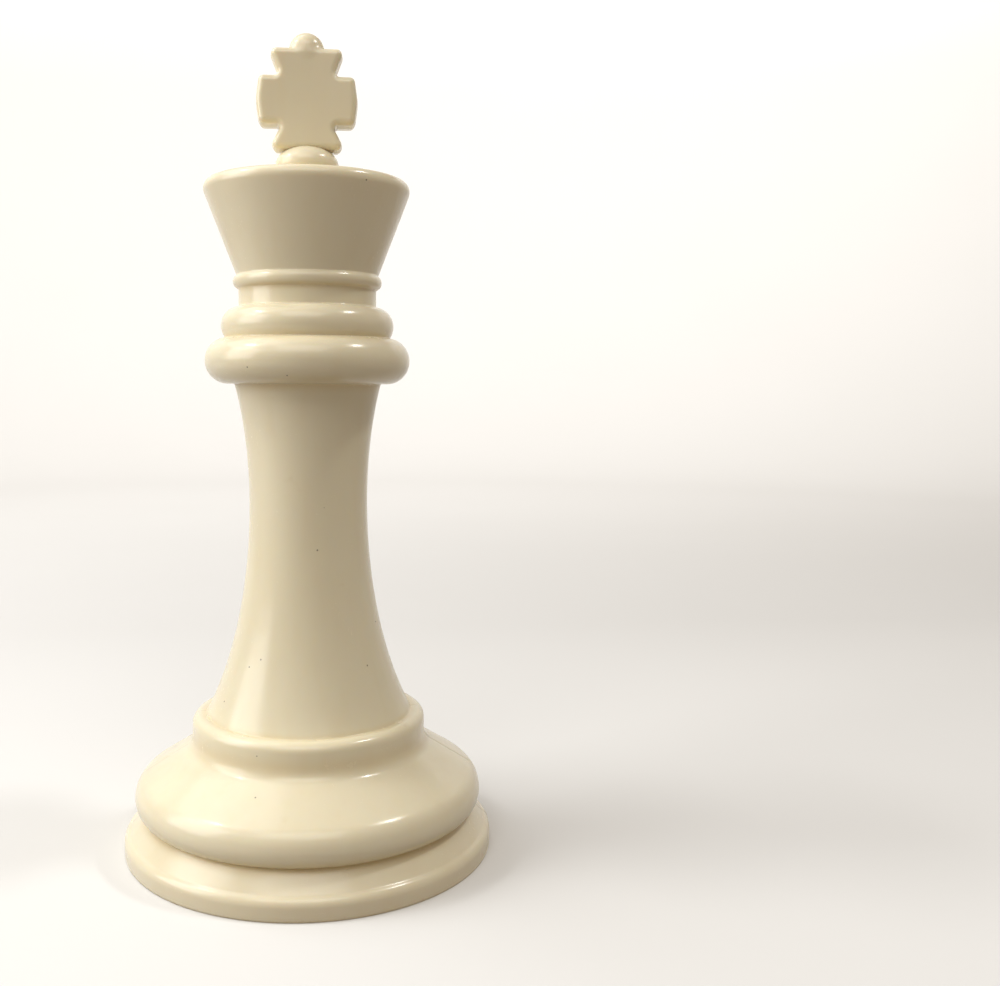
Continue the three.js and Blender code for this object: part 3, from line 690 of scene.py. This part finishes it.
def finial(name):
    """Cross and ball as a net over a grid that is finer near the parting plane.

    Every point then takes Newton steps, p - d g / |g|^2, so that it lies on the surface itself.
    """
    outline = cross_outline()
    margin = 2 * CROSS_GRID
    side = CROSS_HALF_SPAN + margin
    xs = np.linspace(-side, side, int(2 * side / CROSS_GRID))
    low, high = cross_foot_z - margin, cross_top_z + BALL_RISE + BALL_RADIUS + margin
    zs = np.linspace(low, high, int((high - low) / CROSS_GRID))
    seam = seam_start + SEAM_EDGE
    deep = CROSS_THICKNESS / 2 + margin
    outer = np.linspace(seam, deep, int((deep - seam) / CROSS_GRID))
    half = np.r_[SEAM_GAP * 0.6, seam_start + SEAM_EDGE * np.array([0.04, 0.2, 0.45, 0.7]), outer]
    ys = np.r_[-half[::-1], half]
    plane_x, plane_z = np.meshgrid(xs, zs, indexing="ij")
    flat = outline_distance(plane_x.ravel(), plane_z.ravel(), outline).reshape(plane_x.shape)
    value = finial_distance(xs[:, None, None], ys[None, :, None], zs[None, None, :], flat[:, None, :])
    total, count = crossed_cells(value, xs, ys, zs)
    used = count > 0
    points = total[used] / count[used][:, None]
    number = np.full(count.shape, -1)
    number[used] = np.arange(len(points))
    faces = net_faces(value, number)

    def distance(p):
        return finial_distance(*p.T, outline_distance(p[:, 0], p[:, 2], outline))

    small = 0.01
    for _ in range(3):
        here = distance(points)
        slope = np.stack([(distance(points + small * way) - here) / small for way in np.eye(3)], -1)
        move = here[:, None] * slope / np.maximum((slope ** 2).sum(1), 0.2)[:, None]
        points = points - np.clip(move, -CROSS_GRID / 2, CROSS_GRID / 2)
    points[:, 0] += seam_shift(points[:, 1])
    return mesh_object(name, points, [faces])


# ---- Shader formulas ----

class Value:
    """A number in a shader. Each operator adds the Math node of the same name."""

    def __init__(self, finish, socket):
        self.finish = finish
        self.socket = socket

    def __add__(self, other):
        return self.finish.math("ADD", self, other)

    def __sub__(self, other):
        return self.finish.math("SUBTRACT", self, other)

    def __rsub__(self, other):
        return self.finish.math("SUBTRACT", other, self)

    def __mul__(self, other):
        return self.finish.math("MULTIPLY", self, other)

    def __pow__(self, other):
        return self.finish.math("POWER", self, other)

    __radd__ = __add__
    __rmul__ = __mul__


class Finish:
    """A material in the making: uniform values go on its shader, the rest comes from node()."""

    def __init__(self, name, **uniform):
        self.material = bpy.data.materials.new(name)
        self.material.use_nodes = True
        self.tree = self.material.node_tree
        self.shader = next(n for n in self.tree.nodes if n.type == "BSDF_PRINCIPLED")
        for key, value in uniform.items():
            self.shader.inputs[key.replace("_", " ").title().replace("Ior", "IOR")].default_value = value

    def node(self, kind, settings, inputs, output=0):
        """A node of a type, with its settings made first and then its inputs set or linked."""
        made = self.tree.nodes.new("ShaderNode" + kind)
        for key, value in settings.items():
            setattr(made, key, value)
        for key, value in inputs.items():
            self.feed(made.inputs[key], value)
        return Value(self, made.outputs[output])

    def feed(self, socket, value):
        if isinstance(value, Value):
            self.tree.links.new(value.socket, socket)
        else:
            socket.default_value = value

    def math(self, operation, *values):
        return self.node("Math", {"operation": operation}, dict(enumerate(values)))

    def smooth(self, value, low, high):
        """0 below low, 1 above high and a smooth rise between; it falls where low is above high."""
        settings = {"interpolation_type": "SMOOTHSTEP"}
        rising = low < high
        first, last = (low, high) if rising else (high, low)
        made = self.node("MapRange", settings, {"Value": value, "From Min": first, "From Max": last})
        return made if rising else 1 - made

    def place(self, scale=(1, 1, 1), shift=(0, 0, 0)):
        """The point on the piece in millimetres, stretched and shifted."""
        here = self.node("TexCoord", {}, {}, "Object")
        scaled = tuple(s / MM for s in scale)
        return self.node("Mapping", {}, {"Vector": here, "Scale": scaled, "Location": shift})

    def noise(self, vector, scale, detail=3, roughness=0.5, distortion=0):
        inputs = {
            "Vector": vector, "Scale": scale, "Detail": detail, "Roughness": roughness,
            "Distortion": distortion,
        }
        return self.node("TexNoise", {}, inputs)

    def mix(self, share, first, second):
        """The first colour where share is 0 and the second where it is 1."""
        inputs = {0: share, 6: first, 7: second}
        return self.node("Mix", {"data_type": "RGBA"}, inputs, 2)

    def bump(self, height, distance, below=None):
        """Height from 0 to 1 over a distance in millimetres."""
        inputs = {"Height": height, "Distance": distance * MM, "Strength": 1}
        if below is not None:
            inputs["Normal"] = below
        return self.node("Bump", {}, inputs)

    def done(self, **links):
        for key, value in links.items():
            self.feed(self.shader.inputs[key.replace("_", " ").title()], value)
        return self.material


def shade(red, green, blue):
    return (red, green, blue, 1)


# ---- Finishes ----

IVORY = shade(0.80, 0.725, 0.53)
# Darker, warmer ivory: random tone in clouds and flow streaks, and painted shade in the body's creases
IVORY_WARM = shade(0.74, 0.60, 0.35)
IVORY_PALE = shade(0.83, 0.765, 0.58)
STAIN = shade(0.55, 0.37, 0.17)
SPECK = shade(0.12, 0.09, 0.06)


def crease_shade_circles():
    """Radius, height and reach of the creases round the body, where a darker, warmer tone is painted in as
    shade.
    """
    corner_radius, corner_height = step_corner()
    return [
        (GROOVE_RADIUS, GROOVE_HEIGHT, 5.0),
        (corner_radius + 1.5, corner_height - STEP_RISE, 5.0),
        (STEM_FOOT_RADIUS, corner_height, 2.5),
        (STEM_TOP_RADIUS, COLLAR_HEIGHT - COLLAR_ROUNDING, 4.0),
        (UPPER_COLLAR_RADIUS, COLLAR_HEIGHT + UPPER_COLLAR_RISE / 2, 4.0),
        (NECK_RADIUS, upper_collar_z + 5, 3.0),
        (NECK_RADIUS, ring_z - RING_ROUNDING, 2.5),
        (BEAD_FOOT_RADIUS, crown_z + CROWN_DOME_RISE, 2.5),
    ]


def ivory_plastic():
    """Glossy moulded ivory: painted warm shade in the creases, faint clouds, a few stains and specks,
    handling scratches.
    """
    plastic = Finish(
        "ivory_plastic", ior=1.5, subsurface_weight=0.25, subsurface_scale=0.004,
        subsurface_radius=(1.0, 0.7, 0.35), specular_ior_level=0.5,
    )
    here = plastic.place()
    x, y, z = (plastic.node("SeparateXYZ", {}, {"Vector": here}, i) for i in range(3))
    radius = (x * x + y * y) ** 0.5
    # Painted shade: crease is a mask rising towards each crease circle, where a darker, warmer tone stands
    # for the shade in the hollows
    crease = None
    for crease_radius, height, reach in crease_shade_circles():
        off, up = radius - crease_radius, z - height
        near = plastic.smooth((off * off + up * up) ** 0.5, reach, 0)
        crease = near if crease is None else plastic.math("MAXIMUM", crease, near)
    clouds = plastic.smooth(plastic.noise(here, 0.03, 4), 0.35, 0.7)
    flow = plastic.smooth(plastic.noise(plastic.place((1, 1, 0.08)), 0.16, 3), 0.4, 0.75)
    colour = plastic.mix(clouds * 0.25, IVORY, IVORY_PALE)
    # Painted shade: colour mixed halfway towards darker, warmer ivory in the creases; the flow streaks are
    # random tone
    colour = plastic.mix(flow * 0.1 + crease * 0.5, colour, IVORY_WARM)
    blotch = plastic.smooth(plastic.noise(here, 0.11, 2), 0.70, 0.82)
    colour = plastic.mix(blotch * 0.12, colour, STAIN)
    spot = plastic.node("TexVoronoi", {"feature": "F1"}, {"Vector": here, "Scale": 0.085}, "Distance")
    speck = plastic.smooth(spot, 0.034, 0.02)
    colour = plastic.mix(speck * 0.75, colour, SPECK)
    scuffed = plastic.smooth(z, 2.0, 0.2)
    grime = plastic.smooth(plastic.noise(here, 0.5, 5, 0.65), 0.45, 0.75)
    colour = plastic.mix(scuffed * grime * 0.4, colour, STAIN)
    scratch = plastic_scratches(plastic)
    smudge = plastic.smooth(plastic.noise(here, 0.06, 5, 0.6), 0.4, 0.7)
    roughness = 0.19 + smudge * 0.06 + scratch * 0.12 + scuffed * 0.25 + crease * 0.05
    wave = plastic.bump(plastic.noise(here, 0.09, 2), 0.12)
    fine = plastic.bump(1 - scratch, 0.003, below=wave)
    return plastic.done(base_color=colour, roughness=roughness, normal=fine)


def plastic_scratches(plastic):
    """Short hairlines in three directions: noise stretched along one way and cut high."""
    total = None
    for scale, shift in (((1.6, 1.6, 0.03), 3), ((0.05, 1.8, 1.4), 17), ((1.5, 0.2, 1.2), 41)):
        lines = plastic.noise(plastic.place(scale, (shift, shift, shift)), 1.0, 1, 0.4, 0.15)
        line = plastic.smooth(lines, 0.735, 0.775)
        total = line if total is None else plastic.math("MAXIMUM", total, line)
    patches = plastic.smooth(plastic.noise(plastic.place(), 0.05, 2), 0.48, 0.6)
    return total * patches


def plate_plastic():
    """Satin ivory with a fine spark-eroded grain, scuffed where it is proud."""
    plastic = Finish("plate_plastic", ior=1.5, subsurface_weight=0.1, subsurface_scale=0.003)
    here = plastic.place()
    clouds = plastic.smooth(plastic.noise(here, 0.05, 4), 0.35, 0.7)
    colour = plastic.mix(clouds * 0.4, IVORY, IVORY_WARM)
    dirt = plastic.smooth(plastic.noise(here, 0.22, 6, 0.7), 0.55, 0.75)
    colour = plastic.mix(dirt * 0.25, colour, STAIN)
    grain = plastic.noise(here, 3.0, 3, 0.6)
    roughness = 0.42 + dirt * 0.2 + grain * 0.08
    return plastic.done(base_color=colour, roughness=roughness, normal=plastic.bump(grain, 0.03))


def plug_plastic():
    """Satin black with a grey bloom, fine grain and scuffs on its grip."""
    plastic = Finish("plug_plastic", ior=1.5)
    here = plastic.place()
    bloom = plastic.smooth(plastic.noise(here, 0.15, 5, 0.6), 0.4, 0.75)
    colour = plastic.mix(bloom * 0.5, shade(0.02, 0.02, 0.021), shade(0.055, 0.052, 0.048))
    scuff = plastic.smooth(plastic.noise(plastic.place((0.3, 1.5, 1)), 1.2, 3), 0.6, 0.72)
    colour = plastic.mix(scuff * 0.35, colour, shade(0.16, 0.155, 0.15))
    grain = plastic.noise(here, 4.0, 2)
    roughness = 0.36 + bloom * 0.14 + scuff * 0.15
    return plastic.done(base_color=colour, roughness=roughness, normal=plastic.bump(grain, 0.02))


def seal_rubber():
    """Matt black rubber with a dusty bloom."""
    rubber = Finish("seal_rubber", ior=1.5, specular_ior_level=0.35)
    here = rubber.place()
    dust = rubber.smooth(rubber.noise(here, 0.4, 5, 0.65), 0.45, 0.8)
    colour = rubber.mix(dust * 0.5, shade(0.014, 0.014, 0.014), shade(0.07, 0.065, 0.058))
    grain = rubber.noise(here, 5.0, 3)
    return rubber.done(base_color=colour, roughness=0.72 + dust * 0.2, normal=rubber.bump(grain, 0.03))


def screw_steel():
    """Zinc-plated steel: a bluish sheen with dull patches, and rust starting here and there."""
    steel = Finish("screw_steel", metallic=1.0)
    here = steel.place()
    dull = steel.smooth(steel.noise(here, 0.6, 4), 0.4, 0.7)
    colour = steel.mix(dull, shade(0.66, 0.68, 0.70), shade(0.48, 0.48, 0.47))
    rust = steel.smooth(steel.noise(here, 0.9, 5, 0.7), 0.66, 0.76)
    colour = steel.mix(rust * 0.6, colour, shade(0.25, 0.10, 0.04))
    lines = steel.noise(steel.place((0.3, 6, 2)), 1.0, 2)
    roughness = 0.26 + dull * 0.2 + rust * 0.3
    return steel.done(base_color=colour, roughness=roughness, normal=steel.bump(lines, 0.01))


def studio_white():
    """The floor and its curved-up rim: plain pale paint with a trace of mottling."""
    paint = Finish("studio_white", roughness=0.9, specular_ior_level=0.2)
    mottle = paint.noise(paint.place(), 0.004, 3)
    colour = paint.mix(mottle * 0.5, shade(0.80, 0.80, 0.79), shade(0.84, 0.84, 0.835))
    return paint.done(base_color=colour)


# ---- Pieces ----

def screw_places():
    """The screws stand between the parting lines: at half steps round their circle."""
    angles = math.pi * (2 * np.arange(SCREW_COUNT) + 1) / SCREW_COUNT
    return SCREW_CIRCLE * np.column_stack([np.cos(angles), np.sin(angles)])


def pin_places():
    """Both sides at each pin height, close to the wall of the hollow."""
    outline = hollow_outline()
    inner = outline[outline[:, 1] > seat_top]
    out = np.interp(PIN_HEIGHTS, inner[:, 1], inner[:, 0]) - PIN_BOSS_RADIUS + PIN_BOSS_SINK
    return [(side * x, z) for x, z in zip(out, PIN_HEIGHTS) for side in (-1, 1)]


def shells(finish):
    """The whole hollow king, cut along the parting plane; pins on the rear half, sockets in the front."""
    skin = turned_body("skin", body_outline(), BODY_SIDES)
    top = finial("finial")
    whole = worked(skin, ("UNION", top))
    hollow = turned("hollow", hollow_outline(), BODY_SIDES // 2)
    bare = worked(whole, ("DIFFERENCE", hollow))
    steps, spare = [], [skin, top, whole, hollow]
    post_top = step_corner()[1]
    hole_top = plate_low.z + SCREW_HEAD_HEIGHT + SCREW_LENGTH + 2 * GAP
    for i, (x, y) in enumerate(screw_places()):
        post = cylinder(f"post{i}", POST_RADIUS, seat_top, post_top, x, y)
        kept = worked(post, ("INTERSECT", skin))
        hole = cylinder(f"hole{i}", SCREW_RADIUS + GAP, 0, hole_top, x, y)
        steps += [("UNION", kept), ("DIFFERENCE", hole)]
        spare += [post, kept, hole]
    for i, (x, z) in enumerate(pin_places()):
        boss = crosswise(f"boss{i}", PIN_BOSS_RADIUS, -PIN_BOSS_LENGTH, PIN_BOSS_LENGTH, x, z)
        kept = worked(boss, ("INTERSECT", skin))
        steps += [("UNION", kept)]
        spare += [boss, kept]
    body = worked(bare, *steps)
    far = 2 * shell_high.z
    for name, side in (("front_shell", -1), ("rear_shell", 1)):
        low, high = (-far, -SEAM_GAP) if side < 0 else (SEAM_GAP, far)
        half_space = block("half_space", (-far, low, -far), (far, high, far))
        steps = [("INTERSECT", half_space)]
        spare.append(half_space)
        for i, (x, z) in enumerate(pin_places()):
            if side < 0:
                pin = crosswise(f"socket{i}", PIN_RADIUS + GAP, -PIN_LENGTH - 2 * GAP, PIN_ROOT, x, z)
                steps.append(("DIFFERENCE", pin))
            else:
                pin = crosswise(f"pin{i}", PIN_RADIUS, -PIN_LENGTH, PIN_ROOT, x, z)
                steps.append(("UNION", pin))
            spare.append(pin)
        half = worked(body, *steps)
        body.modifiers.clear()
        finished(half, name + "_fine", "king", name, finish)
    cleared(body, bare, *spare)


def edged_disc(name, radius, low, high, edge):
    """A disc whose upright faces meet its flat ones in small rounded edges."""
    rim = joined(
        arc(radius - edge, low + edge, edge, -90, 0), arc(radius - edge, high - edge, edge, 0, 90)
    )
    return turned(name, joined([0, low], rim, [0, high]), LARGE_SIDES)


def base_plate(finish):
    """Disc, filler neck and ribs, less the plug's well, the threaded bore and the countersunk holes."""
    flange_radius = plug_high.x
    well_radius = flange_radius + 2 * GAP
    neck_radius = well_radius + NECK_WALL
    well_floor = seal_high.z + GAP
    disc = edged_disc("disc", seat_radius - GAP, plate_low.z, plate_top, PLATE_EDGE)
    neck = cylinder("neck", neck_radius, plate_low.z + PLATE_EDGE, plate_high.z, sides=LARGE_SIDES)
    steps, spare = [("UNION", neck)], [disc, neck]
    for i in range(RIB_COUNT):
        inner, outer = neck_radius - RIB_SINK, SCREW_CIRCLE - POST_RADIUS - RIB_CLEARANCE
        half = ((outer - inner) / 2, RIB_THICKNESS / 2, (RIB_RISE + RIB_SINK) / 2)
        middle = ((inner + outer) / 2, 0, plate_top - RIB_SINK + half[2])
        rib = soft_bar(f"rib{i}", half, RIB_EDGE, middle)
        rib.data.transform(Matrix.Rotation(2 * math.pi * i / RIB_COUNT, 4, "Z"))
        steps.append(("UNION", rib))
        spare.append(rib)
    bore_radius = PLUG_CORE_RADIUS + THREAD_DEPTH + GAP
    below, well_top = plate_low.z - BEYOND, plate_high.z + BEYOND
    well_outline = joined(
        [[0, below], [well_radius + PLATE_EDGE + BEYOND, below], [well_radius, plate_low.z + PLATE_EDGE]],
        [[well_radius, well_floor], [bore_radius + BORE_EDGE, well_floor]],
        [[bore_radius, well_floor + BORE_EDGE], [bore_radius, well_top], [0, well_top]],
    )
    well = turned("well", well_outline, LARGE_SIDES)
    start = well_floor + PITCH / 2 + THREAD_ROOT_WIDTH
    thread = helix("thread", bore_radius, -THREAD_DEPTH, start, BORE_THREAD_TURNS)
    steps += [("DIFFERENCE", well), ("UNION", thread)]
    spare += [well, thread]
    wide, narrow = SCREW_HEAD_RADIUS + GAP, SCREW_RADIUS + GAP
    sink_outline = joined(
        [[0, below], [wide + SINK_FLARE, below], [wide + SINK_FLARE, plate_low.z]],
        [[wide, plate_low.z + SINK_FLARE_DEPTH], [narrow, plate_low.z + SCREW_HEAD_HEIGHT + GAP / 2]],
        [[narrow, plate_top + BEYOND], [0, plate_top + BEYOND]],
    )
    for i, (x, y) in enumerate(screw_places()):
        sink = turned(f"sink{i}", sink_outline, SMALL_SIDES, x, y)
        steps.append(("DIFFERENCE", sink))
        spare.append(sink)
    plate = worked(disc, *steps)
    cleared(*spare)
    finished(plate, "base_plate_fine", "king", "base_plate", finish)


def base_screws(finish):
    """Countersunk heads with a tapered cross recess, each turned to its own angle, on pointed shanks."""
    bottom = plate_low.z
    tip = bottom + SCREW_HEAD_HEIGHT + SCREW_LENGTH
    outline = joined(
        [0, bottom],
        arc(
            SCREW_HEAD_RADIUS - SCREW_HEAD_EDGE, bottom + SCREW_HEAD_EDGE, SCREW_HEAD_EDGE,
            -90, SCREW_HEAD_EDGE_END,
        ),
        [SCREW_RADIUS, bottom + SCREW_HEAD_HEIGHT],
        [SCREW_RADIUS, tip - SCREW_POINT_LENGTH],
        [[SCREW_POINT_RADIUS, tip - SCREW_POINT_END], [0, tip]],
    )
    turns = np.radians(SCREW_TURNS)
    recess_low = (-RECESS_HALF_LENGTH, -RECESS_HALF_WIDTH, bottom - BEYOND)
    recess_high = (RECESS_HALF_LENGTH, RECESS_HALF_WIDTH, bottom + RECESS_DEPTH)
    for i, (place, turn) in enumerate(zip(screw_places(), turns)):
        name = f"base_screw_{i + 1}"
        shank = turned("shank", outline, SMALL_SIDES)
        slots = []
        for across in (0, math.pi / 2):
            slot = block("slot", recess_low, recess_high)
            tapered(slot, bottom, RECESS_TAPER)
            slot.data.transform(Matrix.Rotation(across, 4, "Z"))
            slots.append(slot)
        screw = worked(shank, *(("DIFFERENCE", slot) for slot in slots))
        cleared(shank, *slots)
        move = Matrix.Translation((place[0] * MM, place[1] * MM, 0)) @ Matrix.Rotation(turn, 4, "Z")
        screw.data.transform(move)
        finished(screw, name + "_fine", "king", name, finish)


def fill_plug(finish):
    """Flange with a grip bar below, a hollow stem above it, and a thread round the stem."""
    flange_radius = plug_high.x
    flange_bottom = plug_low.z + PLUG_GRIP_RISE
    flange_top = flange_bottom + PLUG_FLANGE_THICKNESS
    stem_top = plug_high.z
    flange = edged_disc("flange", flange_radius, flange_bottom, flange_top, PLUG_EDGE)
    stem = edged_disc("stem", PLUG_CORE_RADIUS, flange_bottom + PLUG_EDGE, stem_top, PLUG_EDGE)
    half = (flange_radius - PLUG_GRIP_INSET, PLUG_GRIP_WIDTH / 2, PLUG_GRIP_RISE)
    grip = soft_bar("grip", half, PLUG_GRIP_EDGE, (0, 0, flange_bottom))
    bore = cylinder("bore", PLUG_BORE_RADIUS, flange_top, stem_top + BEYOND, sides=BORE_SIDES)
    start = seal_high.z + GAP + THREAD_ROOT_WIDTH
    thread = helix("thread", PLUG_CORE_RADIUS, THREAD_DEPTH, start, PLUG_THREAD_TURNS)
    plug = worked(flange, ("UNION", stem), ("UNION", grip), ("DIFFERENCE", bore), ("UNION", thread))
    cleared(flange, stem, grip, bore, thread)
    finished(plug, "fill_plug_fine", "plug", "fill_plug", finish)


def plug_seal(finish):
    """A flat ring with rounded outer edges."""
    ring = edged_disc("ring", seal_high.x, seal_low.z, seal_high.z, PLUG_EDGE)
    low, high = seal_low.z - BEYOND, seal_high.z + BEYOND
    bore = cylinder("bore", PLUG_CORE_RADIUS + GAP, low, high, sides=LARGE_SIDES)
    seal = worked(ring, ("DIFFERENCE", bore))
    cleared(ring, bore)
    finished(seal, "plug_seal_fine", "seal", "plug_seal", finish)


# ---- Camera, stage and light ----

def camera():
    """Stands in front at three fifths of the king's height and looks a little right and down."""
    data = bpy.data.cameras.new("camera")
    data.lens = 39.06
    data.sensor_width = 36
    data.shift_x, data.shift_y = 0.0842, -0.0156
    data.clip_start, data.clip_end = 0.01, 20
    made = bpy.data.objects.new("camera", data)
    bpy.context.scene.collection.objects.link(made)
    pan, tilt, roll = math.radians(5.671), math.radians(-5.023), math.radians(0.254)
    forward = Vector((math.sin(pan) * math.cos(tilt), math.cos(pan) * math.cos(tilt), math.sin(tilt)))
    level = forward.to_track_quat("-Z", "Y").to_matrix().to_4x4()
    turn = Matrix.Rotation(roll, 4, "Z")
    made.matrix_world = Matrix.Translation((0, -0.4142, 0.1775)) @ level @ turn
    bpy.context.scene.camera = made


def stage(finish):
    """A round floor whose rim curves up: a flat disc, a quarter circle and an upright wall.

    It throws no light back on the king, so the world's even light alone fills the shadows.
    """
    flat, sweep, wall = 1500, 900, 700
    edge = arc(flat, sweep, sweep, -90, 0)
    upright = [flat + sweep, sweep + wall]
    inner = [[radius, 0] for radius in (250, 600, 1000)]
    outline = joined([0, 0], inner, edge, upright)
    sides = 160
    angles = 2 * math.pi * np.arange(sides) / sides
    radius, height = outline[1:, 0, None], outline[1:, 1, None]
    rings = np.stack(np.broadcast_arrays(radius * np.cos(angles), radius * np.sin(angles), height), -1)
    points = np.vstack([[0, 0, 0], rings.reshape(-1, 3)])
    sides_, caps = ring_faces(len(outline) - 1, sides)
    floor = mesh_object("floor", points, [sides_[:, ::-1], caps[:sides, ::-1]])
    floor.data.shade_smooth()
    floor.data.materials.append(finish)
    floor.visible_diffuse = False


def area_light(name, target, direction, distance, size, power, colour):
    """A rectangular light at a distance from its target, in a direction, facing it."""
    data = bpy.data.lights.new(name, "AREA")
    data.shape = "RECTANGLE"
    data.size, data.size_y = size
    data.energy = power
    data.color = colour
    made = bpy.data.objects.new(name, data)
    bpy.context.scene.collection.objects.link(made)
    way = Vector(direction).normalized()
    made.location = Vector(target) + way * distance
    made.rotation_mode = "QUATERNION"
    made.rotation_quaternion = way.to_track_quat("Z", "Y")


def lighting():
    """A window low on the left, two soft boxes above, two small lamps for the glints, and a lit wall."""
    white, cool = (1, 0.99, 0.97), (0.95, 0.98, 1)
    king, wall = (0, 0, 0.14), (0, 2.4, 0.9)
    area_light("window", king, (-0.86, -0.12, 0.38), 1.2, (0.8, 0.9), 9.4, white)
    area_light("upper_left_box", king, (-0.5, 0.2, 0.85), 1.4, (1.1, 1.1), 7, cool)
    area_light("front_box", king, (-0.1, -0.6, 0.8), 1.5, (1.2, 0.8), 6.6, white)
    area_light("left_lamp", king, (-0.62, 0.05, 0.78), 1.4, (0.3, 0.1), 2.4, white)
    area_light("right_lamp", king, (0.56, -0.04, 0.83), 1.4, (0.2, 0.09), 4.2, white)
    area_light("wall_lamp", wall, (0, -0.9, 0.4), 1.5, (3, 0.8), 36, white)
    world = bpy.data.worlds.new("studio")
    world.use_nodes = True
    background = next(n for n in world.node_tree.nodes if n.type == "BACKGROUND")
    background.inputs["Color"].default_value = shade(1, 0.84, 0.68)
    background.inputs["Strength"].default_value = 0.29
    bpy.context.scene.world = world


camera()
stage(studio_white())
lighting()
shells(ivory_plastic())
base_plate(plate_plastic())
base_screws(screw_steel())
plug_seal(seal_rubber())
fill_plug(plug_plastic())
bpy.context.scene.view_settings.view_transform = "Standard"
